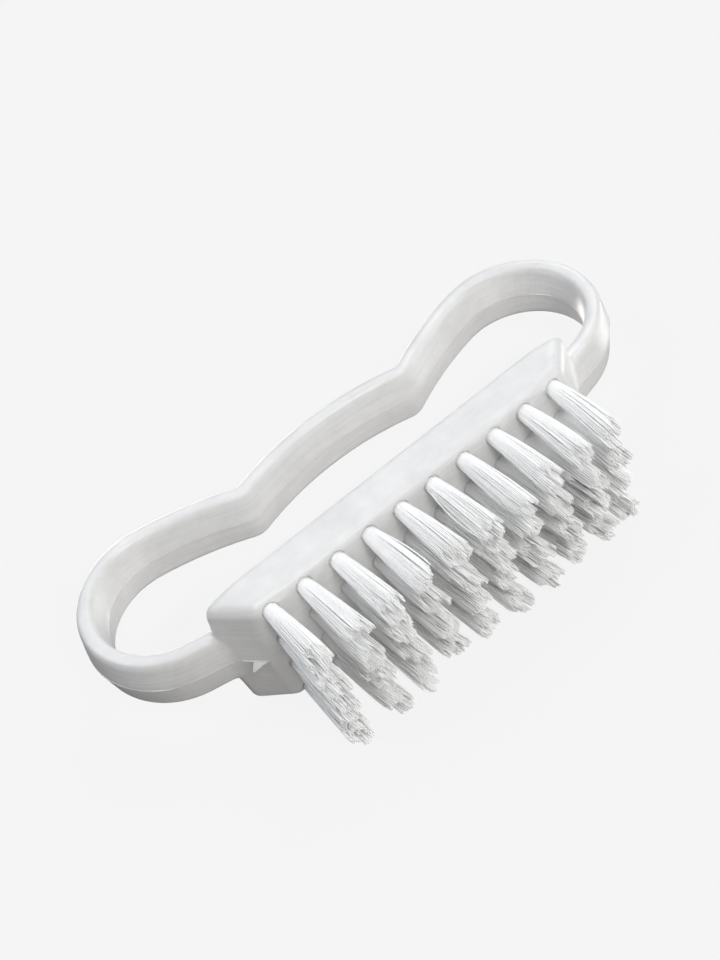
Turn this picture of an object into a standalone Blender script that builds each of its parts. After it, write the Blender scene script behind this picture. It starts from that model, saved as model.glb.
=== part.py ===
"""Finger-grip nail brush: one moulded body with a strap handle, and forty nylon tufts in blind holes.

The brush lies on one long side of its head. +X runs along the head, +Y from the bristles towards
the handle, and +Z up, out of the upper side face. The origin is on the surface that it lies on,
under the middle of its bounding box.
"""

import math

import bmesh
import bpy
from mathutils import Matrix, Vector

MM = 0.001

# Head: a bar with sloping ends. Its outline lies in X and Y, and its width runs along Z.
HEAD_WIDTH = 22.8 * MM
HEAD_THICKNESS = 6.6 * MM
HEAD_BACK_LENGTH = 67.4 * MM
HEAD_FRONT_LENGTH = 55.4 * MM
BACK_CORNER_RADIUS = 1.3 * MM
FRONT_CORNER_RADIUS = 0.8 * MM
SIDE_EDGE_RADIUS = 1.2 * MM
# The back and the ends swell by this much at mid-width, where the two halves of the mould meet.
MOULD_DRAFT = 0.6 * MM

# Handle strap: a six-sided section, thickest along its middle.
STRAP_WIDTH = 10.2 * MM
STRAP_MIDDLE_THICKNESS = 4.1 * MM
STRAP_EDGE_THICKNESS = 2.3 * MM
STRAP_EDGE_CHAMFER = 0.55 * MM

# Centre line of the strap's right half, measured from the middle of the head's back.
LOOP_CENTRE_X = 34.0 * MM
LOOP_CENTRE_Y = 12.7 * MM
LOOP_RADIUS = 12.1 * MM
ROOT_X = 24.0 * MM
ROOT_HEADING = math.radians(14.0)
SHOULDER_HEADING = math.radians(192.0)
SHOULDER_RADIUS = 57.0 * MM
CUSP_HEADING = math.radians(208.0)
CUSP_RADIUS = 2.4 * MM
HUMP_HEADING = math.radians(162.0)
ARC_STEP = math.radians(6.0)
SLOW_ARC_STEP = math.radians(4.0)

# Tufts: filaments folded in half and driven into blind holes in the front face.
COLUMNS = 10
ROWS = 4
COLUMN_PITCH = 5.7 * MM
ROW_PITCH = 6.1 * MM
HOLE_RADIUS = 1.4 * MM
HOLE_DEPTH = 4.4 * MM
HOLE_SIDES = 20
CLEARANCE = 0.3 * MM
TUFT_LENGTH = 13.6 * MM
TUFT_SIDES = 12
# Share of the free length, and radius there.
TUFT_PROFILE = (
    (0.0, 1.1 * MM),
    (0.35, 1.4 * MM),
    (0.70, 1.7 * MM),
    (0.92, 1.85 * MM),
    (1.0, 1.2 * MM),
)
TIP_UNEVENNESS = 0.5 * MM
TIP_SLANT = 0.35
# The upper rows lean down towards the bottom row, and most at the +X end.
TIP_LEAN = 2.4 * MM
# Worn filaments also lean towards the +X end, most in the bottom row and least in the end columns.
TIP_SWAY = 1.6 * MM
END_SWAY = 0.3 * MM

MID_WIDTH = HEAD_WIDTH / 2
STRAP_TOP = LOOP_CENTRE_Y + LOOP_RADIUS + STRAP_MIDDLE_THICKNESS / 2
TUFT_END = -HEAD_THICKNESS - TUFT_LENGTH - TIP_UNEVENNESS
# Moves the middle of the whole height, from tuft tips to strap top, onto the origin.
BACK_Y = -(STRAP_TOP + TUFT_END) / 2


def clear_scene():
    for obj in list(bpy.data.objects):
        bpy.data.objects.remove(obj, do_unlink=True)


def plastic(name, colour, roughness):
    material = bpy.data.materials.new(name)
    material.use_nodes = True
    shader = material.node_tree.nodes["Principled BSDF"]
    shader.inputs["Base Color"].default_value = (*colour, 1.0)
    shader.inputs["Roughness"].default_value = roughness
    shader.inputs["Metallic"].default_value = 0.0
    return material


def object_from(name, mesh_builder, material, parent=None):
    """A named object from a bmesh, with its normals facing out and its round parts shaded smooth."""
    bmesh.ops.recalc_face_normals(mesh_builder, faces=mesh_builder.faces)
    mesh = bpy.data.meshes.new(name)
    mesh_builder.to_mesh(mesh)
    mesh_builder.free()
    mesh.shade_smooth()
    mesh.set_sharp_from_angle(angle=math.radians(35))
    mesh.materials.append(material)
    obj = bpy.data.objects.new(name, mesh)
    bpy.context.collection.objects.link(obj)
    obj.parent = parent
    return obj


def cutter(name, mesh_builder, material):
    obj = object_from(name, mesh_builder, material)
    obj.hide_render = True
    obj.display_type = "WIRE"
    return obj


def loft(mesh_builder, rings):
    """Skins rings of equal length one after another and closes both ends."""
    loops = [[mesh_builder.verts.new(point) for point in ring] for ring in rings]
    count = len(loops[0])
    for first, second in zip(loops, loops[1:]):
        for i in range(count):
            j = (i + 1) % count
            mesh_builder.faces.new((first[i], first[j], second[j], second[i]))
    mesh_builder.faces.new(loops[0])
    mesh_builder.faces.new(loops[-1])


def rounded_corner(corner, before, after, radius, steps):
    """Points of the arc that rounds a corner between two neighbouring corners."""
    towards_before = (before - corner).normalized()
    towards_after = (after - corner).normalized()
    half_angle = towards_before.angle(towards_after) / 2
    centre = corner + (towards_before + towards_after).normalized() * radius / math.sin(half_angle)
    start = corner + towards_before * radius / math.tan(half_angle) - centre
    end = corner + towards_after * radius / math.tan(half_angle) - centre
    turn = start.angle(end)
    points = []
    for step in range(steps + 1):
        share = step / steps
        blend = start * math.sin((1 - share) * turn) + end * math.sin(share * turn)
        points.append(centre + blend / math.sin(turn))
    return points


def head_outline(draft, edge_inset):
    """The head's outline in X and Y, pulled in by the mould's draft and by the rounding of its edges."""
    back = BACK_Y + MOULD_DRAFT - draft - edge_inset
    front = BACK_Y - HEAD_THICKNESS + edge_inset
    slope = (HEAD_BACK_LENGTH - HEAD_FRONT_LENGTH) / 2 / HEAD_THICKNESS
    end_inset = (draft + edge_inset) * math.hypot(1, slope)

    def half_length(y):
        return HEAD_FRONT_LENGTH / 2 + MOULD_DRAFT + slope * (y - BACK_Y + HEAD_THICKNESS) - end_inset

    corners = (
        (Vector((half_length(back), back)), BACK_CORNER_RADIUS),
        (Vector((-half_length(back), back)), BACK_CORNER_RADIUS),
        (Vector((-half_length(front), front)), FRONT_CORNER_RADIUS),
        (Vector((half_length(front), front)), FRONT_CORNER_RADIUS),
    )
    points = []
    for i, (corner, radius) in enumerate(corners):
        before = corners[i - 1][0]
        after = corners[(i + 1) % len(corners)][0]
        tightened = max(radius - edge_inset / 2, 0.3 * MM)
        points.extend(rounded_corner(corner, before, after, tightened, steps=4))
    return points


def head_mesh():
    """The bar of the head, lofted up its width through the mould's parting plane."""
    levels = [(0.0, 0.0)]
    straight = MID_WIDTH - SIDE_EDGE_RADIUS
    for step in range(4):
        angle = math.radians(30 * step)
        level = straight + SIDE_EDGE_RADIUS * math.sin(angle)
        levels.append((level, SIDE_EDGE_RADIUS * (1 - math.cos(angle))))
    levels = [(-level, inset) for level, inset in reversed(levels[1:])] + levels
    rings = []
    for level, inset in levels:
        draft = MOULD_DRAFT * abs(level) / MID_WIDTH
        outline = head_outline(draft, inset)
        rings.append([Vector((p.x, p.y, MID_WIDTH + level)) for p in outline])
    mesh_builder = bmesh.new()
    loft(mesh_builder, rings)
    return mesh_builder


def arc(centre, radius, heading_from, heading_to, step, clockwise=False):
    """Stations (point, heading) along an arc, in travel order."""
    side = -1 if clockwise else 1
    count = max(2, math.ceil(abs(heading_to - heading_from) / step))
    stations = []
    for i in range(count + 1):
        heading = heading_from + (heading_to - heading_from) * i / count
        spoke = Vector((math.sin(heading), -math.cos(heading)))
        stations.append((centre + side * radius * spoke, heading))
    return stations


def left_of(heading):
    return Vector((-math.sin(heading), math.cos(heading)))


def strap_stations():
    """The strap's centre line, from inside the head's right end to inside its left end."""
    loop = arc(
        Vector((LOOP_CENTRE_X, LOOP_CENTRE_Y)), LOOP_RADIUS, ROOT_HEADING, SHOULDER_HEADING, ARC_STEP
    )
    loop_start = loop[0][0]
    run = (loop_start.x - ROOT_X) / math.cos(ROOT_HEADING)
    root = loop_start - run * Vector((math.cos(ROOT_HEADING), math.sin(ROOT_HEADING)))
    shoulder_centre = loop[-1][0] + SHOULDER_RADIUS * left_of(SHOULDER_HEADING)
    shoulder = arc(
        shoulder_centre, SHOULDER_RADIUS, SHOULDER_HEADING, CUSP_HEADING, SLOW_ARC_STEP
    )
    cusp_centre = shoulder[-1][0] - CUSP_RADIUS * left_of(CUSP_HEADING)
    cusp = arc(
        cusp_centre, CUSP_RADIUS, CUSP_HEADING, HUMP_HEADING, math.radians(12.0), clockwise=True
    )
    hump_start = cusp[-1][0]
    hump_radius = hump_start.x / math.sin(HUMP_HEADING)
    hump_centre = hump_start + hump_radius * left_of(HUMP_HEADING)
    hump = arc(hump_centre, hump_radius, HUMP_HEADING, math.pi, SLOW_ARC_STEP)
    right_half = [(root, ROOT_HEADING)] + loop + shoulder[1:] + cusp[1:] + hump[1:]
    mirrored = [
        (Vector((-point.x, point.y)), 2 * math.pi - heading) for point, heading in right_half[:-1]
    ]
    return right_half + mirrored[::-1]


def strap_section():
    """Half thickness against place across the width: six sides, with the thin edges chamfered."""
    half_width = STRAP_WIDTH / 2
    flank = half_width - STRAP_EDGE_CHAMFER
    middle = STRAP_MIDDLE_THICKNESS / 2
    edge = STRAP_EDGE_THICKNESS / 2
    inner_side = [(0.0, middle), (flank, edge), (half_width, edge - STRAP_EDGE_CHAMFER)]
    upper = inner_side + [(across, -along) for across, along in reversed(inner_side)]
    lower = [(-across, along) for across, along in reversed(upper[1:-1])]
    return upper + lower


def strap_mesh():
    """The strap, swept along its centre line. Its cusps are tight arcs."""
    rings = []
    section = strap_section()
    for point, heading in strap_stations():
        inward = left_of(heading)
        ring = []
        for across, along in section:
            place = point + inward * along
            ring.append(Vector((place.x, BACK_Y + place.y, MID_WIDTH + across)))
        rings.append(ring)
    mesh_builder = bmesh.new()
    loft(mesh_builder, rings)
    return mesh_builder


def tuft_places():
    """(row, column, X, Z) of each hole, row 1 uppermost and column 1 at the -X end."""
    for row in range(ROWS):
        for column in range(COLUMNS):
            x = (column - (COLUMNS - 1) / 2) * COLUMN_PITCH
            z = MID_WIDTH - (row - (ROWS - 1) / 2) * ROW_PITCH
            yield row + 1, column + 1, x, z


def holes_mesh():
    """A plug for each blind hole, reaching past the front face."""
    mesh_builder = bmesh.new()
    front = BACK_Y - HEAD_THICKNESS
    beyond = 1.0 * MM
    depth = HOLE_DEPTH + beyond
    for _, _, x, z in tuft_places():
        centre = Vector((x, front + HOLE_DEPTH - depth / 2, z))
        bmesh.ops.create_cone(
            mesh_builder,
            cap_ends=True,
            segments=HOLE_SIDES,
            radius1=HOLE_RADIUS,
            radius2=HOLE_RADIUS,
            depth=depth,
            matrix=Matrix.Translation(centre) @ Matrix.Rotation(math.pi / 2, 4, "X"),
        )
    return mesh_builder


def boolean(obj, other, operation):
    modifier = obj.modifiers.new(other.name, "BOOLEAN")
    modifier.operation = operation
    modifier.solver = "EXACT"
    modifier.object = other


def make_body(material, parent):
    """One moulding: the head, the strap that leaves both its ends, and its blind holes."""
    body = object_from("moulded_body", head_mesh(), material, parent)
    boolean(body, cutter("strap_shape", strap_mesh(), material), "UNION")
    boolean(body, cutter("hole_plugs", holes_mesh(), material), "DIFFERENCE")
    return body


def make_tuft(row, column, x, z, material, parent):
    """A bundle of filaments: a plug in its hole that spreads towards an uneven, slanting tip."""
    swing = 2.4 * row + 1.7 * column
    length = TUFT_LENGTH + TIP_UNEVENNESS * math.sin(swing)
    lean = TIP_LEAN * (ROWS - row) / (ROWS - 1) * (column - 1) / (COLUMNS - 1)
    sway = (TIP_SWAY if 1 < column < COLUMNS else END_SWAY) * (row + 1) / (ROWS + 1)
    sections = [(-(HOLE_DEPTH - CLEARANCE), TUFT_PROFILE[0][1])]
    sections += [(share * length, radius) for share, radius in TUFT_PROFILE]
    rings = []
    for reach, radius in sections:
        share = max(0.0, reach / length)
        slant = TIP_SLANT * max(0.0, share - 0.7) / 0.3
        sag = lean * share**2
        ring = []
        for side in range(TUFT_SIDES):
            angle = 2 * math.pi * side / TUFT_SIDES
            slope = slant * radius * math.cos(angle - swing)
            away = min(reach + slope, length)
            across = radius * math.cos(angle) + sway * share
            ring.append(Vector((across, -away, radius * math.sin(angle) - sag)))
        rings.append(ring)
    mesh_builder = bmesh.new()
    loft(mesh_builder, rings)
    tuft = object_from(f"tuft_row{row}_col{column:02d}", mesh_builder, material, parent)
    tuft.location = (x, BACK_Y - HEAD_THICKNESS, z)
    return tuft


def main():
    clear_scene()
    white = plastic("white_polypropylene", (0.86, 0.87, 0.88), 0.38)
    nylon = plastic("white_nylon_filament", (0.84, 0.84, 0.83), 0.45)
    brush = bpy.data.objects.new("nail_brush", None)
    bpy.context.collection.objects.link(brush)
    make_body(white, brush)
    for row, column, x, z in tuft_places():
        make_tuft(row, column, x, z, nylon, brush)


main()
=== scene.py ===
"""Looks of the finger-grip nail brush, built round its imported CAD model.

The moulding is a fine mesh drawn onto a distance field of the head, the strap and the holes. Each
tuft is a bundle of nylon filaments, and each hole holds a small metal anchor.
"""

import math

import bmesh
import bpy
import numpy as np
from mathutils import Matrix, Vector


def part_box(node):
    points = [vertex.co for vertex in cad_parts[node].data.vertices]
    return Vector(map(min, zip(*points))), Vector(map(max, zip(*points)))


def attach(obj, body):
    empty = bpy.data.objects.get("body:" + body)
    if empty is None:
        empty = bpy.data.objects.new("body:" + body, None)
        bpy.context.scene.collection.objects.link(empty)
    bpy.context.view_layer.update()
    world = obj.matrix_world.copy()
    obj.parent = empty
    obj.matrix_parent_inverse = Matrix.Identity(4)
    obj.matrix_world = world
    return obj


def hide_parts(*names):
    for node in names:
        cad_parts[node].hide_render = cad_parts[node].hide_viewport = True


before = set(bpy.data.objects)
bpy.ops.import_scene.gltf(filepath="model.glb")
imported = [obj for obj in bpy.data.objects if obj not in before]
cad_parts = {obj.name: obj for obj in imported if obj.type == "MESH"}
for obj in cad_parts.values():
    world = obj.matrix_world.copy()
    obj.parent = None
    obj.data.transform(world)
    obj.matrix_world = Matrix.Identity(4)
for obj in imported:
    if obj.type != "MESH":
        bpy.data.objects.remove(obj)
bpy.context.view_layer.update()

MM = 0.001
BODY = "root"

# Where the body is, from the frame.
BODY_LOW, BODY_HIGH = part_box("moulded_body")
MID_WIDTH = (BODY_LOW.z + BODY_HIGH.z) / 2
HALF_WIDTH = (BODY_HIGH.z - BODY_LOW.z) / 2
HEAD_THICKNESS = 6.6 * MM
FRONT_Y = BODY_LOW.y
BACK_Y = FRONT_Y + HEAD_THICKNESS

# Head.
HEAD_BACK_LENGTH = 67.4 * MM
HEAD_FRONT_LENGTH = 55.4 * MM
HEAD_SLOPE = (HEAD_BACK_LENGTH - HEAD_FRONT_LENGTH) / 2 / HEAD_THICKNESS
MOULD_DRAFT = 0.6 * MM
BACK_CORNER_RADIUS = 2.0 * MM
FRONT_CORNER_RADIUS = 0.9 * MM
SIDE_EDGE_RADIUS = 0.7 * MM
END_EDGE_RADIUS = 2.0 * MM
LOWER_BACK_EDGE_RADIUS = 0.8 * MM
LOWER_TAPER = 0.7 * MM
LOWER_TAPER_BLEND = 4 * MM
LIP_WIDTH = 1.1 * MM
LIP_TILT = math.radians(9)
LIP_ROUNDING = 0.05 * MM
PARTING_SOFTNESS = 0.3 * MM
END_BLEND_FIRST = 0.5 * MM
END_BLEND_LAST = 5 * MM
ROOT_FILLET = 0.6 * MM

# Strap.
STRAP_HALF_WIDTH = 5.1 * MM
STRAP_MIDDLE = 2.05 * MM
STRAP_EDGE = 1.25 * MM
STRAP_CHAMFER = 0.55 * MM
STRAP_ROUNDING = 0.4 * MM
CREST_SOFTNESS = 0.8 * MM
LOOP_CENTRE = (34.0 * MM, 12.7 * MM)
LOOP_RADIUS = 12.1 * MM
ROOT_X = 24.0 * MM
ROOT_HEADING = math.radians(14.0)
SHOULDER_HEADING = math.radians(192.0)
SHOULDER_RADIUS = 57.0 * MM
CUSP_HEADING = math.radians(208.0)
CUSP_RADIUS = 2.4 * MM
HUMP_HEADING = math.radians(162.0)
# The hump's arc runs a little past the middle, so that its nearest point is found there too.
HUMP_LAST_HEADING = math.pi + 0.3

# Holes, tufts and anchors.
COLUMNS = 10
ROWS = 4
COLUMN_PITCH = 5.7 * MM
ROW_PITCH = 6.1 * MM
HOLE_RADIUS = 1.25 * MM
HOLE_DEPTH = 4.4 * MM
HOLE_MOUTH_ROUNDING = 0.03 * MM
HOLE_BOTTOM_ROUNDING = 0.3 * MM
ANCHOR_HALF_SIZE = np.array((1.15, 0.16, 0.75)) * MM
ANCHOR_EDGE = 0.07 * MM
ANCHOR_DISTANCE = 0.75 * MM
FILAMENT_RADIUS = 0.122 * MM
FILAMENT_SIDES = 5
FILAMENT_PITCH = 1.35 * FILAMENT_RADIUS
BUNDLE_BASE_RADIUS = 1.26 * MM
BUNDLE_TIP_SPREAD = 1.7
SPREAD_POWER = 1.35
SPREAD_VARIATION = 0.03
TIP_SCATTER = 0.05 * MM
TIP_LEAN = 2.4 * MM
TIP_SWAY = 1.6 * MM
END_SWAY = 0.3 * MM

# How the filaments of a tuft differ: they cling in bunches towards their tips, and a few are stray.
FEWEST_BUNCHES = 9
MOST_BUNCHES = 13
# The bunches lie on a spiral, each turned this far from the last, in radians.
BUNCH_TURN = 2.4
BUNCH_SCATTER = 0.12 * MM
WEAKEST_PULL = 0.1
STRONGEST_PULL = 0.5
CLINGING_POWER = 5
BUNCH_DRIFT = 0.14 * MM
BUNCH_SHORTENING = 1.7 * MM
MOST_SHORTENING = 3.6 * MM
FILAMENT_SHORTENING = 0.3 * MM
TIP_ALLOWANCE = 0.5 * MM
TIP_DOME = 0.8 * MM
TIP_SLANT = 0.5 * MM
BOW = 0.04 * MM
STRAY_SHARE = 0.02
STRAY_BOW = 0.25 * MM
# Where a filament's stations lie, as shares of its reach. The first is down in the hole.
STATIONS = (-0.22, 0.0, 0.22, 0.44, 0.62, 0.76, 0.88, 1.0)
# Shares of a filament's radius, and the range of its twist in radians.
THINNEST = 0.9
THICKEST = 1.08
TIP_THICKNESS = 0.82
CAP_LENGTH = 0.5
TWIST_RANGE = 6.28

# Marks of moulding: the flash on the parting line and the torn gate on the left end.
FLASH_HALF_WIDTH = 0.11 * MM
FLASH_HEIGHT = 0.16 * MM
FLASH_STEP = 0.5 * MM
FLASH_WAVE = 3 * MM
FLASH_END_HEIGHT = 0.02 * MM
FLASH_CLEARANCE = 0.1 * MM
FLASH_FRONT_GAP = 0.7 * MM
FLASH_BACK_GAP = 0.5 * MM
FLASH_CORNER_GAP = 8 * MM
FLASH_END_POINTS = 14
# Across a fin, in shares of its half width and height. Its foot is below the surface.
FIN_PROFILE = ((1, -0.5), (0.6, 0.6), (0, 1), (-0.6, 0.6), (-1, -0.5))
GATE_BACK = 4.0 * MM
GATE_LENGTH = 2.4 * MM
GATE_REACH = 1.6 * MM
GATE_DROOP = 1.4 * MM
GATE_THICKNESS = 0.28 * MM
GATE_SINK = 0.3 * MM
GATE_RISE = 0.12 * MM
# The flake narrows to a place at this share of its root, and thins, by these shares at its tip.
GATE_TIP_PLACE = 0.28
GATE_NARROWING = 0.88
GATE_THINNING = 0.55
# The roughness of the flake is in millimetres.
GATE_ROUGHNESS_OUT = 0.04
GATE_ROUGHNESS_UP = 0.03

# Surface mesh of the body.
VOXEL = 0.345 * MM
GRADIENT_STEP = 0.02 * MM
LONGEST_MOVE = 0.4 * MM

# Camera.
CAMERA_AZIMUTH = math.radians(-20.163)
CAMERA_ELEVATION = math.radians(47.249)
CAMERA_ROLL = math.radians(-22.779)
CAMERA_DISTANCE = 214.127 * MM
CAMERA_SHIFT_X = 4.053 * MM
CAMERA_SHIFT_Y = -2.721 * MM
CAMERA_LENS = 54.478
CAMERA_AIM_Y = 4 * MM

# Colours, from the darkest to the lightest place.
PLASTIC_DARK = (0.735, 0.732, 0.726)
PLASTIC_LIGHT = (0.85, 0.848, 0.845)
METAL_DARK = (0.55, 0.53, 0.50)
METAL_LIGHT = (0.74, 0.73, 0.70)
NYLON_DARK = (0.955, 0.955, 0.955)
NYLON_LIGHT = (0.995, 0.995, 0.99)

# Studio. A light is its name, azimuth and height in degrees, power in watts, and colour. The floor
# throws no shadow, so the lights with a height below 0 shine up through it.
STUDIO_RADIUS = 2.5
FLOOR_GAP = 0.05 * MM
BACKGROUND = 0.913
FLOOR_GLOW = 0.861
FLOOR_ALBEDO = 0.05
LIGHT_SIZE = 0.5
LIGHT_DISTANCE = 0.9
NEUTRAL = (1.0, 1.0, 0.995)
COOL = (0.935, 0.957, 1.0)
WARM = (1.0, 0.965, 0.91)
LIGHTS = (
    ("key", 0, 50, 4.6, NEUTRAL),
    ("key_back_right", 120, 50, 2.2, COOL),
    ("key_back", 180, 50, 1.0, COOL),
    ("key_back_left", 240, 50, 3.0, COOL),
    ("low_front_right", 45, 15, 2.1, NEUTRAL),
    ("low_back_right", 135, 15, 1.5, NEUTRAL),
    ("low_back_left", 225, 15, 0.2, NEUTRAL),
    ("under_front", 0, -25, 1.4, WARM),
    ("under_right", 90, -25, 2.3, NEUTRAL),
    ("under_back", 180, -25, 4.4, WARM),
)
SKY_GLOW = 0.0
GLOW_FROM_BELOW = 0.145
HORIZON_BLUR = 0.15


# ---------------------------------------------------------------------------------------------
# Small helpers
# ---------------------------------------------------------------------------------------------


def piece_from(name, points, faces, material):
    """A smooth-shaded mesh object that rides on the brush's only body."""
    mesh = bpy.data.meshes.new(name)
    mesh.from_pydata([tuple(p) for p in points], [], [tuple(f) for f in faces])
    mesh.materials.append(material)
    mesh.shade_smooth()
    obj = bpy.data.objects.new(name, mesh)
    bpy.context.scene.collection.objects.link(obj)
    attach(obj, BODY)
    return obj


def unit(vectors):
    return vectors / np.maximum(np.linalg.norm(vectors, axis=-1, keepdims=True), 1e-12)


# ---------------------------------------------------------------------------------------------
# Distance field of the moulding
# ---------------------------------------------------------------------------------------------


def round_and(a, b, radius):
    """Inside both a and b, with the edge between them rounded."""
    corner = np.hypot(np.maximum(a + radius, 0), np.maximum(b + radius, 0))
    return np.minimum(np.maximum(a, b), -radius) + corner


def round_or(a, b, radius):
    """Inside a or b, with a fillet of this radius between them."""
    corner = np.hypot(np.maximum(radius - a, 0), np.maximum(radius - b, 0))
    return np.maximum(np.minimum(a, b), radius) - corner


def smooth_step(value, low, high):
    t = np.clip((value - low) / (high - low), 0, 1)
    return t * t * (3 - 2 * t)


def head_field(p):
    """Signed distance of the head, whose back and ends swell towards the parting line."""
    across = np.sqrt((p[:, 2] - MID_WIDTH) ** 2 + PARTING_SOFTNESS**2)
    swell = MOULD_DRAFT * (1 - across / HALF_WIDTH)
    back = p[:, 1] - BACK_Y - swell
    front = FRONT_Y - p[:, 1]
    half_length = HEAD_FRONT_LENGTH / 2 + HEAD_SLOPE * (p[:, 1] - FRONT_Y)
    end = (np.abs(p[:, 0]) - half_length) / math.hypot(1, HEAD_SLOPE) - swell
    # The lower side leans in a little towards the bristles, and its back corner is sharper.
    lower = smooth_step(MID_WIDTH - p[:, 2], 0, LOWER_TAPER_BLEND)
    forward = np.clip((BACK_Y - p[:, 1]) / HEAD_THICKNESS, 0, 1)
    side = np.abs(p[:, 2] - MID_WIDTH) - HALF_WIDTH + LOWER_TAPER * lower * forward
    lip = side * math.cos(LIP_TILT) + (FRONT_Y + LIP_WIDTH - p[:, 1]) * math.sin(LIP_TILT)
    side = round_and(side, lip, LIP_ROUNDING)
    outline = round_and(round_and(end, back, BACK_CORNER_RADIUS), front, FRONT_CORNER_RADIUS)
    near_end = smooth_step(-end, END_BLEND_FIRST, END_BLEND_LAST)
    sharpening = LOWER_BACK_EDGE_RADIUS - END_EDGE_RADIUS
    end_rounding = END_EDGE_RADIUS + sharpening * lower * (1 - forward)
    rounding = end_rounding + (SIDE_EDGE_RADIUS - end_rounding) * near_end
    return round_and(outline, side, rounding)


def left_of(heading):
    return np.array((-math.sin(heading), math.cos(heading)))


def strap_line():
    """The arcs of the right half of the strap's centre line, after its straight root.

    Each arc is (centre, radius, lower heading, higher heading, turn), turn -1 where it bends the
    other way.
    """
    centre = np.array(LOOP_CENTRE)
    loop = (centre, LOOP_RADIUS, ROOT_HEADING, SHOULDER_HEADING, 1)
    loop_end = centre - LOOP_RADIUS * left_of(SHOULDER_HEADING)
    shoulder_centre = loop_end + SHOULDER_RADIUS * left_of(SHOULDER_HEADING)
    shoulder = (shoulder_centre, SHOULDER_RADIUS, SHOULDER_HEADING, CUSP_HEADING, 1)
    shoulder_end = shoulder_centre - SHOULDER_RADIUS * left_of(CUSP_HEADING)
    cusp_centre = shoulder_end - CUSP_RADIUS * left_of(CUSP_HEADING)
    cusp = (cusp_centre, CUSP_RADIUS, HUMP_HEADING, CUSP_HEADING, -1)
    cusp_end = cusp_centre + CUSP_RADIUS * left_of(HUMP_HEADING)
    hump_radius = cusp_end[0] / math.sin(HUMP_HEADING)
    hump_centre = cusp_end + hump_radius * left_of(HUMP_HEADING)
    hump = (hump_centre, hump_radius, HUMP_HEADING, HUMP_LAST_HEADING, 1)
    return loop, shoulder, cusp, hump


def strap_offset(x, y):
    """Signed distance from the strap's centre line, positive towards the inside of the loop."""
    best = np.full(x.shape, 1.0)
    for centre, radius, first, last, turn in strap_line():
        away_x = x - centre[0]
        away_y = y - centre[1]
        # The heading of travel at the point of the circle nearest to here.
        heading = np.arctan2(turn * away_x, -turn * away_y)
        heading = np.where(heading < first - 1.5, heading + 2 * math.pi, heading)
        offset = turn * (radius - np.hypot(away_x, away_y))
        inside = (heading >= first - 1e-6) & (heading <= last + 1e-6)
        better = inside & (np.abs(offset) < np.abs(best))
        best = np.where(better, offset, best)
    start = np.array(LOOP_CENTRE) - LOOP_RADIUS * left_of(ROOT_HEADING)
    travel = (x - start[0]) * math.cos(ROOT_HEADING) + (y - start[1]) * math.sin(ROOT_HEADING)
    offset = (y - start[1]) * math.cos(ROOT_HEADING) - (x - start[0]) * math.sin(ROOT_HEADING)
    on_root = (travel <= 0) & (x >= ROOT_X)
    return np.where(on_root & (np.abs(offset) < np.abs(best)), offset, best)


def strap_field(p):
    """Signed distance of the strap, which is thickest at mid-width."""
    offset = np.abs(strap_offset(np.abs(p[:, 0]), p[:, 1] - BACK_Y))
    across = np.abs(p[:, 2] - MID_WIDTH)
    slope = (STRAP_MIDDLE - STRAP_EDGE) / (STRAP_HALF_WIDTH - STRAP_CHAMFER)
    softened = np.hypot(across, CREST_SOFTNESS)
    flank = (offset - STRAP_MIDDLE + slope * softened) / math.hypot(1, slope)
    chamfer_reach = STRAP_HALF_WIDTH - STRAP_CHAMFER + STRAP_EDGE
    chamfer = (across + offset - chamfer_reach) / math.sqrt(2)
    edge = across - STRAP_HALF_WIDTH
    return round_and(round_and(flank, chamfer, STRAP_ROUNDING), edge, STRAP_ROUNDING)


def hole_field(p):
    """Signed distance of the nearest blind hole."""
    column = np.clip(np.round(p[:, 0] / COLUMN_PITCH + (COLUMNS - 1) / 2), 0, COLUMNS - 1)
    row = np.clip(np.round((MID_WIDTH - p[:, 2]) / ROW_PITCH + (ROWS - 1) / 2), 0, ROWS - 1)
    from_x = p[:, 0] - (column - (COLUMNS - 1) / 2) * COLUMN_PITCH
    from_z = p[:, 2] - MID_WIDTH + (row - (ROWS - 1) / 2) * ROW_PITCH
    wall = np.hypot(from_x, from_z) - HOLE_RADIUS
    bottom = p[:, 1] - FRONT_Y - HOLE_DEPTH
    return round_and(wall, bottom, HOLE_BOTTOM_ROUNDING)


def body_field(p):
    """Signed distance of the whole moulding."""
    solid = round_or(head_field(p), strap_field(p), ROOT_FILLET)
    return round_and(solid, -hole_field(p), HOLE_MOUTH_ROUNDING)


def gradient_of(field, points):
    gradient = np.empty_like(points)
    for axis in range(3):
        shift = np.zeros(3)
        shift[axis] = GRADIENT_STEP
        gradient[:, axis] = (field(points + shift) - field(points - shift)) / (2 * GRADIENT_STEP)
    return gradient


def drawn_onto(points, field, rounds):
    """Points moved along the field's gradient onto its surface."""
    for _ in range(rounds):
        gradient = gradient_of(field, points)
        size = np.maximum((gradient**2).sum(1), 0.2)
        move = np.clip(field(points) / size, -LONGEST_MOVE, LONGEST_MOVE)
        points = points - move[:, None] * gradient
    return points


def evened_out(points, edges, share):
    """Each point moved part of the way to the middle of its neighbours."""
    total = np.zeros_like(points)
    count = np.zeros(len(points))
    for a, b in ((0, 1), (1, 0)):
        np.add.at(total, edges[:, a], points[edges[:, b]])
        np.add.at(count, edges[:, a], 1)
    middle = total / np.maximum(count, 1)[:, None]
    return points + share * (middle - points)


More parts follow.
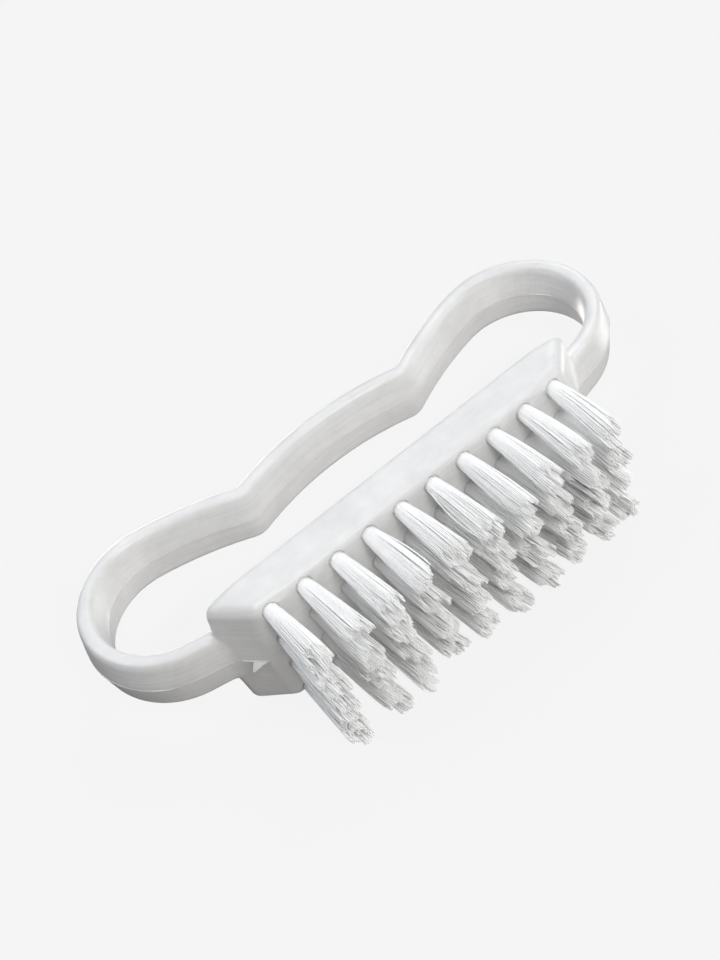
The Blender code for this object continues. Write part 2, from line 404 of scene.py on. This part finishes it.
def make_body(material):
    """The whole moulding: a voxel mesh of the CAD solid, drawn onto the distance field."""
    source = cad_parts["moulded_body"]
    draft = bpy.data.objects.new("body_draft", source.data.copy())
    bpy.context.scene.collection.objects.link(draft)
    remesh = draft.modifiers.new("remesh", "REMESH")
    remesh.mode = "VOXEL"
    remesh.voxel_size = VOXEL
    remesh.adaptivity = 0
    bpy.context.view_layer.update()
    graph = bpy.context.evaluated_depsgraph_get()
    mesh = bpy.data.meshes.new_from_object(draft.evaluated_get(graph))
    bpy.data.objects.remove(draft)
    mesh.name = "moulded_body_fine"
    points = np.empty(len(mesh.vertices) * 3)
    mesh.vertices.foreach_get("co", points)
    points = points.reshape(-1, 3)
    edges = np.empty(len(mesh.edges) * 2, np.int64)
    mesh.edges.foreach_get("vertices", edges)
    edges = edges.reshape(-1, 2)
    points = drawn_onto(points, body_field, 3)
    for _ in range(4):
        points = evened_out(points, edges, 0.5)
        points = drawn_onto(points, body_field, 2)
    mesh.vertices.foreach_set("co", points.ravel())
    mesh.materials.clear()
    mesh.materials.append(material)
    mesh.shade_smooth()
    mesh.update()
    body = bpy.data.objects.new("moulded_body_fine", mesh)
    bpy.context.scene.collection.objects.link(body)
    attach(body, BODY)
    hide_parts("moulded_body")


# ---------------------------------------------------------------------------------------------
# Tufts
# ---------------------------------------------------------------------------------------------


def hole_centre(row, column):
    """The middle of a hole's mouth. Row 1 is uppermost, and column 1 is at the -X end."""
    x = (column - 1 - (COLUMNS - 1) / 2) * COLUMN_PITCH
    z = MID_WIDTH - (row - 1 - (ROWS - 1) / 2) * ROW_PITCH
    return np.array((x, FRONT_Y, z))


def ring_places(outer_radius, rng):
    """Places side by side in rings, from the wall of the hole inwards."""
    places = []
    ring_radius = outer_radius
    while ring_radius > FILAMENT_RADIUS:
        ring_count = max(3, int(2 * math.pi * ring_radius / FILAMENT_PITCH))
        turn = rng.uniform(0, 2 * math.pi)
        for i in range(ring_count):
            angle = turn + 2 * math.pi * i / ring_count
            places.append((ring_radius * math.cos(angle), ring_radius * math.sin(angle)))
        ring_radius -= FILAMENT_PITCH
    return np.array(places)


def filament_lines(row, column):
    """The centre lines of one tuft's filaments, as an array of filament, station and XYZ."""
    rng = np.random.RandomState(100 * row + column)
    low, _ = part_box(f"tuft_row{row}_col{column:02d}")
    length = FRONT_Y - low.y + TIP_ALLOWANCE
    lean = TIP_LEAN * (ROWS - row) / (ROWS - 1) * (column - 1) / (COLUMNS - 1)
    sway = (TIP_SWAY if 1 < column < COLUMNS else END_SWAY) * (row + 1) / (ROWS + 1)
    base = ring_places(BUNDLE_BASE_RADIUS - FILAMENT_RADIUS, rng)
    count = len(base)
    share_out = np.hypot(base[:, 0], base[:, 1]) / BUNDLE_BASE_RADIUS
    spread = BUNDLE_TIP_SPREAD * (1 + rng.normal(0, SPREAD_VARIATION, count))[:, None]
    fanned = base * spread + rng.normal(0, TIP_SCATTER, base.shape)
    # Towards their tips the filaments stand in small bunches, each cut to its own length.
    bunches = rng.randint(FEWEST_BUNCHES, MOST_BUNCHES + 1)
    seed_radius = BUNDLE_BASE_RADIUS * np.sqrt((np.arange(bunches) + 0.5) / bunches)
    seed_angle = BUNCH_TURN * np.arange(bunches) + rng.uniform(0, 2 * math.pi)
    seeds = np.stack((seed_radius * np.cos(seed_angle), seed_radius * np.sin(seed_angle)), 1)
    seeds += rng.normal(0, BUNCH_SCATTER, seeds.shape)
    nearest = np.argmin(np.linalg.norm(base[:, None] - seeds[None], axis=2), 1)
    pull = rng.uniform(WEAKEST_PULL, STRONGEST_PULL, bunches)[nearest]
    drift = rng.normal(0, BUNCH_DRIFT, (bunches, 2))[nearest]
    clinging = pull[:, None] * (seeds[nearest] * BUNDLE_TIP_SPREAD - fanned) + drift
    cuts = np.abs(rng.normal(0, BUNCH_SHORTENING, bunches))
    shortening = np.minimum(cuts, MOST_SHORTENING)[nearest]
    stray = (rng.uniform(0, 1, count) < STRAY_SHARE)[:, None]
    bow = rng.normal(0, BOW, (count, 2)) + stray * rng.normal(0, STRAY_BOW, (count, 2))
    slant = rng.uniform(0, 2 * math.pi)
    slanted = (base[:, 0] * math.cos(slant) + base[:, 1] * math.sin(slant)) / BUNDLE_BASE_RADIUS
    reach = length - shortening - np.abs(rng.normal(0, FILAMENT_SHORTENING, count))
    reach -= TIP_DOME * share_out**2 + TIP_SLANT * (1 + slanted)
    lines = np.empty((count, len(STATIONS), 3))
    for i, share in enumerate(STATIONS):
        along = max(share, 0) * (reach / length)
        place = base + (fanned - base) * (1 - (1 - along[:, None]) ** SPREAD_POWER)
        place = place + clinging * along[:, None] ** CLINGING_POWER
        place = place + bow * np.sin(math.pi * along)[:, None]
        lines[:, i, 0] = place[:, 0] + sway * along
        lines[:, i, 1] = -reach * share
        lines[:, i, 2] = place[:, 1] - lean * along**2
    return lines + hole_centre(row, column), rng


def tube_mesh(lines, radius, sides, rng):
    """Closed tubes along many lines of equal length, with blunt rounded ends."""
    count, stations, _ = lines.shape
    forward = np.empty_like(lines)
    forward[:, 1:-1] = lines[:, 2:] - lines[:, :-2]
    forward[:, 0] = lines[:, 1] - lines[:, 0]
    forward[:, -1] = lines[:, -1] - lines[:, -2]
    forward = unit(forward)
    side = unit(np.cross(forward, np.array((0.3, 0.1, 1.0))))
    other = np.cross(forward, side)
    twist = rng.uniform(0, TWIST_RANGE, count)[:, None, None]
    thickness = radius * rng.uniform(THINNEST, THICKEST, count)[:, None, None]
    taper = np.ones(stations)
    taper[-1] = TIP_THICKNESS
    rings = []
    for k in range(sides):
        angle = twist + 2 * math.pi * k / sides
        out = np.cos(angle) * side + np.sin(angle) * other
        rings.append(lines + out * thickness * taper[None, :, None])
    rings = np.stack(rings, 2)
    caps = np.stack((lines[:, 0], lines[:, -1] + forward[:, -1] * radius * CAP_LENGTH), 1)
    points = np.concatenate((rings.reshape(count, -1, 3), caps), 1)
    per_line = points.shape[1]
    faces = []
    for s in range(stations - 1):
        for k in range(sides):
            j = (k + 1) % sides
            faces.append((s * sides + k, s * sides + j, (s + 1) * sides + j, (s + 1) * sides + k))
    ends = []
    last = (stations - 1) * sides
    for k in range(sides):
        j = (k + 1) % sides
        ends.append((stations * sides, j, k))
        ends.append((stations * sides + 1, last + k, last + j))
    quads = np.array(faces)
    tris = np.array(ends)
    starts = np.arange(count)[:, None, None] * per_line
    all_faces = (quads[None] + starts).reshape(-1, 4).tolist()
    all_faces += (tris[None] + starts).reshape(-1, 3).tolist()
    return points.reshape(-1, 3), all_faces


def make_tuft(row, column, material):
    """One tuft's filaments as a single piece, in place of its plain CAD solid."""
    lines, rng = filament_lines(row, column)
    points, faces = tube_mesh(lines, FILAMENT_RADIUS, FILAMENT_SIDES, rng)
    name = f"filaments_row{row}_col{column:02d}"
    tuft = piece_from(name, points, faces, material)
    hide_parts(f"tuft_row{row}_col{column:02d}")


def anchor_piece(row, column, material):
    """The flat metal wire that holds the fold of one tuft at the bottom of its hole."""
    builder = bmesh.new()
    bmesh.ops.create_cube(builder, size=2)
    bmesh.ops.scale(builder, vec=ANCHOR_HALF_SIZE, verts=builder.verts)
    edges = builder.edges[:]
    bmesh.ops.bevel(builder, geom=edges, offset=ANCHOR_EDGE, segments=2, affect="EDGES")
    middle = hole_centre(row, column) + np.array((0, HOLE_DEPTH - ANCHOR_DISTANCE, 0))
    points = [np.array(v.co) + middle for v in builder.verts]
    faces = [[v.index for v in f.verts] for f in builder.faces]
    builder.free()
    piece_from(f"anchor_row{row}_col{column:02d}", points, faces, material)


# ---------------------------------------------------------------------------------------------
# Marks of moulding
# ---------------------------------------------------------------------------------------------


def strap_route():
    """Points and inward directions along the right half of the strap, from its root to mid-hump."""
    start = np.array(LOOP_CENTRE) - LOOP_RADIUS * left_of(ROOT_HEADING)
    travel = np.array((math.cos(ROOT_HEADING), math.sin(ROOT_HEADING)))
    root_length = (start[0] - ROOT_X) / travel[0]
    root_steps = int(root_length / FLASH_STEP)
    points = [start - travel * root_length * share for share in np.linspace(1, 0, root_steps)[:-1]]
    inward = [left_of(ROOT_HEADING)] * len(points)
    for centre, radius, first, last, turn in strap_line():
        begin, end = (first, last) if turn > 0 else (last, first)
        if end == HUMP_LAST_HEADING:
            end = math.pi
        steps = max(4, int(abs(end - begin) * radius / FLASH_STEP))
        for heading in np.linspace(begin, end, steps, endpoint=end == math.pi):
            points.append(centre - turn * radius * left_of(heading))
            inward.append(left_of(heading))
    return np.array(points), np.array(inward)


def waver(count, seed):
    """Heights from 0 to 1 along a line of points, which come and go over a few millimetres."""
    rng = np.random.RandomState(seed)
    mark_count = max(3, int(count * FLASH_STEP / FLASH_WAVE))
    marks = np.clip(rng.uniform(-0.5, 1, mark_count), 0.03, 1)
    return np.interp(np.linspace(0, len(marks) - 1, count), np.arange(len(marks)), marks)


def ridge(name, rough, seed, material):
    """A fine raised fin along a line in the mid-plane, with its foot sunk into the surface."""
    route = drawn_onto(rough, body_field, 4)
    outward = unit(gradient_of(body_field, route) * np.array((1, 1, 0)))
    heights = waver(len(route), seed) * FLASH_HEIGHT
    heights[[0, -1]] = FLASH_END_HEIGHT
    rings = []
    for width, height in FIN_PROFILE:
        level = np.full(len(route), height * FLASH_HEIGHT) if height < 0 else height * heights
        side = np.array((0, 0, width * FLASH_HALF_WIDTH))
        rings.append(route + side + outward * level[:, None])
    points = np.stack(rings, 1)
    count, sides = points.shape[:2]
    faces = []
    for i in range(count - 1):
        for k in range(sides):
            j = (k + 1) % sides
            faces.append((i * sides + k, i * sides + j, (i + 1) * sides + j, (i + 1) * sides + k))
    faces.append(tuple(range(sides - 1, -1, -1)))
    faces.append(tuple((count - 1) * sides + k for k in range(sides)))
    piece_from(name, points.reshape(-1, 3), faces, material)


def in_mid_plane(flat):
    """Points of the XY plane, measured from the head's back, set at mid-width."""
    return np.column_stack((flat[:, 0], flat[:, 1] + BACK_Y, np.full(len(flat), MID_WIDTH)))


def flash_lines(material):
    """Flash where the mould halves met: along the strap's crest, the head's ends and its back."""
    half_points, half_inward = strap_route()
    for side, name in ((1, "right"), (-1, "left")):
        flip = np.array((side, 1))
        for turn, where in ((1, "inner"), (-1, "outer")):
            crest = in_mid_plane((half_points + turn * STRAP_MIDDLE * half_inward) * flip)
            crest = crest[head_field(crest) > FLASH_CLEARANCE]
            ridge(f"flash_{where}_{name}", crest, 11 + side + 5 * turn, material)
        down = np.linspace(-HEAD_THICKNESS + FLASH_FRONT_GAP, -FLASH_BACK_GAP, FLASH_END_POINTS)
        out = HEAD_FRONT_LENGTH / 2 + HEAD_SLOPE * (down + HEAD_THICKNESS) + MOULD_DRAFT
        end = in_mid_plane(np.column_stack((side * out, down)))
        end = end[strap_field(end) > FLASH_CLEARANCE]
        ridge(f"flash_end_{name}", end, 21 + side, material)
    last = HEAD_BACK_LENGTH / 2 - FLASH_CORNER_GAP
    along = np.arange(-last, last, FLASH_STEP)
    back = in_mid_plane(np.column_stack((along, np.full(len(along), MOULD_DRAFT))))
    ridge("flash_back", back[strap_field(back) > FLASH_CLEARANCE], 31, material)


def gate_remnant(material):
    """The thin flake left where the gate was torn off, drooping from the left end of the head."""
    rng = np.random.RandomState(5)
    across, down = 11, 8
    upper, under = [], []
    for v in np.linspace(0, 1, down):
        for u in np.linspace(0, 1, across):
            narrowed = (u - GATE_TIP_PLACE) * (1 - GATE_NARROWING * v**0.8)
            y = BACK_Y - GATE_BACK - GATE_LENGTH * (GATE_TIP_PLACE + narrowed)
            root_x = HEAD_FRONT_LENGTH / 2 + HEAD_SLOPE * (y - FRONT_Y) + MOULD_DRAFT - GATE_SINK
            rough_out = rng.uniform(-GATE_ROUGHNESS_OUT, GATE_ROUGHNESS_OUT) * MM
            x = -root_x - (GATE_REACH + GATE_SINK) * v + rough_out
            rough_up = rng.uniform(-GATE_ROUGHNESS_UP, GATE_ROUGHNESS_UP) * MM
            z = MID_WIDTH + GATE_RISE - GATE_DROOP * v**1.5 + rough_up
            thickness = GATE_THICKNESS * (1 - GATE_THINNING * v)
            upper.append((x, y, z + thickness / 2))
            under.append((x, y, z - thickness / 2))
    faces = []
    low = across * down
    for i in range(down - 1):
        for k in range(across - 1):
            a = i * across + k
            faces.append((a, a + across, a + across + 1, a + 1))
            faces.append((low + a, low + a + 1, low + a + across + 1, low + a + across))
    rim = list(range(across)) + [i * across + across - 1 for i in range(1, down)]
    rim += [(down - 1) * across + k for k in range(across - 2, -1, -1)]
    rim += [i * across for i in range(down - 2, 0, -1)]
    for a, b in zip(rim, rim[1:] + rim[:1]):
        faces.append((a, b, low + b, low + a))
    flake = piece_from("gate_remnant", upper + under, faces, material)
    flake.data.set_sharp_from_angle(angle=math.radians(40))


# ---------------------------------------------------------------------------------------------
# Materials
# ---------------------------------------------------------------------------------------------


def new_material(name):
    material = bpy.data.materials.new(name)
    material.use_nodes = True
    tree = material.node_tree
    return material, tree, tree.nodes["Principled BSDF"]


def noise(tree, coordinates, scale, detail=3.0, roughness=0.55):
    node = tree.nodes.new("ShaderNodeTexNoise")
    node.inputs["Scale"].default_value = scale
    node.inputs["Detail"].default_value = detail
    node.inputs["Roughness"].default_value = roughness
    tree.links.new(coordinates, node.inputs["Vector"])
    return node.outputs["Fac"]


def ramp(tree, value, low, high, low_colour, high_colour):
    node = tree.nodes.new("ShaderNodeValToRGB")
    node.color_ramp.elements[0].position = low
    node.color_ramp.elements[0].color = (*low_colour, 1)
    node.color_ramp.elements[1].position = high
    node.color_ramp.elements[1].color = (*high_colour, 1)
    tree.links.new(value, node.inputs["Fac"])
    return node.outputs["Color"]


def object_coordinates(tree):
    return tree.nodes.new("ShaderNodeTexCoord").outputs["Object"]


def span(tree, value, low, high):
    """Maps a value of 0 to 1 onto low to high."""
    node = tree.nodes.new("ShaderNodeMapRange")
    node.inputs["To Min"].default_value = low
    node.inputs["To Max"].default_value = high
    tree.links.new(value, node.inputs["Value"])
    return node.outputs["Result"]


def bump(tree, height, distance, strength, normal=None):
    node = tree.nodes.new("ShaderNodeBump")
    node.inputs["Distance"].default_value = distance
    node.inputs["Strength"].default_value = strength
    tree.links.new(height, node.inputs["Height"])
    if normal is not None:
        tree.links.new(normal, node.inputs["Normal"])
    return node.outputs["Normal"]


def stretched(tree, coordinates, scale, turn=0.0):
    """Coordinates for a pattern drawn out along the axes of small scale, turned about Z."""
    node = tree.nodes.new("ShaderNodeMapping")
    node.inputs["Scale"].default_value = scale
    node.inputs["Rotation"].default_value = (0, 0, turn)
    tree.links.new(coordinates, node.inputs["Vector"])
    return node.outputs["Vector"]


def body_plastic():
    """Moulded white polypropylene: mottled, satin, with flow streaks along its strap and scuffs."""
    material, tree, shader = new_material("moulded_polypropylene")
    place = object_coordinates(tree)
    mottle = noise(tree, place, 260, 4.0, 0.6)
    streaks = noise(tree, stretched(tree, place, (110, 110, 2300)), 1.0, 3.0, 0.6)
    scuffs = noise(tree, stretched(tree, place, (300, 2600, 300), math.radians(50)), 1.0, 3.0, 0.6)
    blend = tree.nodes.new("ShaderNodeMath")
    blend.operation = "ADD"
    tree.links.new(span(tree, mottle, 0.0, 0.35), blend.inputs[0])
    marks = tree.nodes.new("ShaderNodeMath")
    marks.operation = "ADD"
    tree.links.new(span(tree, streaks, 0.0, 0.45), marks.inputs[0])
    tree.links.new(span(tree, scuffs, 0.0, 0.2), marks.inputs[1])
    tree.links.new(marks.outputs[0], blend.inputs[1])
    colour = ramp(tree, blend.outputs[0], 0.36, 0.64, PLASTIC_DARK, PLASTIC_LIGHT)
    tree.links.new(colour, shader.inputs["Base Color"])
    gloss = noise(tree, place, 700, 3.0)
    tree.links.new(span(tree, gloss, 0.30, 0.46), shader.inputs["Roughness"])
    swell = bump(tree, noise(tree, place, 220, 2.0), 0.05 * MM, 0.5)
    drawn = bump(tree, marks.outputs[0], 0.03 * MM, 0.6, swell)
    grain = bump(tree, noise(tree, place, 2600, 2.0), 0.006 * MM, 0.5, drawn)
    tree.links.new(grain, shader.inputs["Normal"])
    shader.inputs["Subsurface Weight"].default_value = 0.15
    shader.inputs["Subsurface Radius"].default_value = (1.0, 0.95, 0.9)
    shader.inputs["Subsurface Scale"].default_value = 0.8 * MM
    return material


def anchor_metal():
    """Cut flat wire: finely scratched, with a little tarnish."""
    material, tree, shader = new_material("anchor_metal")
    place = object_coordinates(tree)
    tarnish = noise(tree, place, 900, 3.0)
    colour = ramp(tree, tarnish, 0.3, 0.7, METAL_DARK, METAL_LIGHT)
    tree.links.new(colour, shader.inputs["Base Color"])
    shader.inputs["Metallic"].default_value = 1.0
    tree.links.new(span(tree, noise(tree, place, 3000, 2.0), 0.3, 0.5), shader.inputs["Roughness"])
    scratches = noise(tree, place, 5000, 1.0)
    tree.links.new(bump(tree, scratches, 0.004 * MM, 0.5), shader.inputs["Normal"])
    return material


def nylon():
    """White nylon filament, with fine mottling that makes its strands differ a little."""
    material, tree, shader = new_material("nylon_filament")
    place = object_coordinates(tree)
    fine = noise(tree, place, 1500, 2.0)
    colour = ramp(tree, fine, 0.3, 0.7, NYLON_DARK, NYLON_LIGHT)
    tree.links.new(colour, shader.inputs["Base Color"])
    tree.links.new(span(tree, fine, 0.28, 0.5), shader.inputs["Roughness"])
    return material


# ---------------------------------------------------------------------------------------------
# Studio
# ---------------------------------------------------------------------------------------------


def stage_piece(name, points, faces, material):
    """Part of the studio: seen by the camera, but it throws no light back onto the brush."""
    piece = piece_from(name, points, faces, material)
    piece.visible_diffuse = False
    piece.visible_glossy = False
    piece.visible_transmission = False
    piece.visible_shadow = False


def make_floor():
    half = STUDIO_RADIUS
    corners = [(-half, -half), (half, -half), (half, half), (-half, half)]
    points = [(x, y, -FLOOR_GAP) for x, y in corners]
    stage_piece("floor", points, [(0, 1, 2, 3)], pale("pale_floor", FLOOR_ALBEDO, FLOOR_GLOW))


def make_wall():
    """A pale round wall and ceiling far behind the brush, for views along the floor."""
    builder = bmesh.new()
    bmesh.ops.create_uvsphere(builder, u_segments=48, v_segments=24, radius=STUDIO_RADIUS)
    points = [tuple(v.co) for v in builder.verts]
    faces = [[v.index for v in f.verts] for f in builder.faces]
    builder.free()
    stage_piece("wall", points, faces, pale("pale_wall", 0.0, BACKGROUND))


def pale(name, albedo, glow):
    material, _, shader = new_material(name)
    shader.inputs["Base Color"].default_value = (albedo, albedo, albedo, 1)
    shader.inputs["Roughness"].default_value = 1.0
    shader.inputs["Specular IOR Level"].default_value = 0.0
    shader.inputs["Emission Color"].default_value = (1, 1, 1, 1)
    shader.inputs["Emission Strength"].default_value = glow
    return material


def area_light(name, azimuth, height, power, colour):
    """A round soft light aimed at the brush. Azimuth 0 is in front of the bristles, 90 at +X."""
    light = bpy.data.lights.new(name, "AREA")
    light.shape = "DISK"
    light.size = LIGHT_SIZE
    light.energy = power
    light.color = colour
    lamp = bpy.data.objects.new(name, light)
    bpy.context.scene.collection.objects.link(lamp)
    turn = math.radians(azimuth)
    level = math.cos(math.radians(height))
    away = Vector((math.sin(turn) * level, -math.cos(turn) * level, math.sin(math.radians(height))))
    lamp.location = Vector((0, 0, MID_WIDTH)) + away * LIGHT_DISTANCE
    lamp.rotation_euler = away.to_track_quat("Z", "Y").to_euler()


def make_lights():
    """The soft lights, and a world that is dark above the horizon and glows a little below it."""
    world = bpy.data.worlds.new("studio")
    world.use_nodes = True
    tree = world.node_tree
    sky = tree.nodes["Background"]
    direction = tree.nodes.new("ShaderNodeTexCoord").outputs["Generated"]
    split = tree.nodes.new("ShaderNodeSeparateXYZ")
    tree.links.new(direction, split.inputs[0])
    level = tree.nodes.new("ShaderNodeMapRange")
    level.inputs["From Min"].default_value = -HORIZON_BLUR
    level.inputs["From Max"].default_value = HORIZON_BLUR
    level.inputs["To Min"].default_value = GLOW_FROM_BELOW
    level.inputs["To Max"].default_value = SKY_GLOW
    tree.links.new(split.outputs["Z"], level.inputs["Value"])
    tree.links.new(level.outputs["Result"], sky.inputs["Strength"])
    sky.inputs["Color"].default_value = (1, 1, 1, 1)
    bpy.context.scene.world = world
    for name, azimuth, height, power, colour in LIGHTS:
        area_light(name, azimuth, height, power, colour)


def make_camera():
    elevation = math.sin(CAMERA_ELEVATION)
    level = math.cos(CAMERA_ELEVATION)
    away = Vector((math.sin(CAMERA_AZIMUTH) * level, -math.cos(CAMERA_AZIMUTH) * level, elevation))
    flat_right = Vector((0, 0, 1)).cross(away).normalized()
    flat_up = away.cross(flat_right)
    turn = Matrix.Rotation(CAMERA_ROLL, 3, away)
    right = turn @ flat_right
    up = turn @ flat_up
    target = Vector((0, BACK_Y + CAMERA_AIM_Y, MID_WIDTH))
    camera = bpy.data.cameras.new("camera")
    camera.lens = CAMERA_LENS
    camera.sensor_width = 36
    camera.clip_start = 0.001
    holder = bpy.data.objects.new("camera", camera)
    bpy.context.scene.collection.objects.link(holder)
    place = Matrix((right, up, away)).transposed().to_4x4()
    centred = target + away * CAMERA_DISTANCE
    place.translation = centred - right * CAMERA_SHIFT_X - up * CAMERA_SHIFT_Y
    holder.matrix_world = place
    bpy.context.scene.camera = holder


def main():
    scene = bpy.context.scene
    scene.view_settings.view_transform = "Standard"
    make_camera()
    make_lights()
    make_floor()
    make_wall()
    plastic = body_plastic()
    make_body(plastic)
    strands = nylon()
    wire = anchor_metal()
    for row in range(1, ROWS + 1):
        for column in range(1, COLUMNS + 1):
            make_tuft(row, column, strands)
            anchor_piece(row, column, wire)
    flash_lines(plastic)
    gate_remnant(plastic)


main()
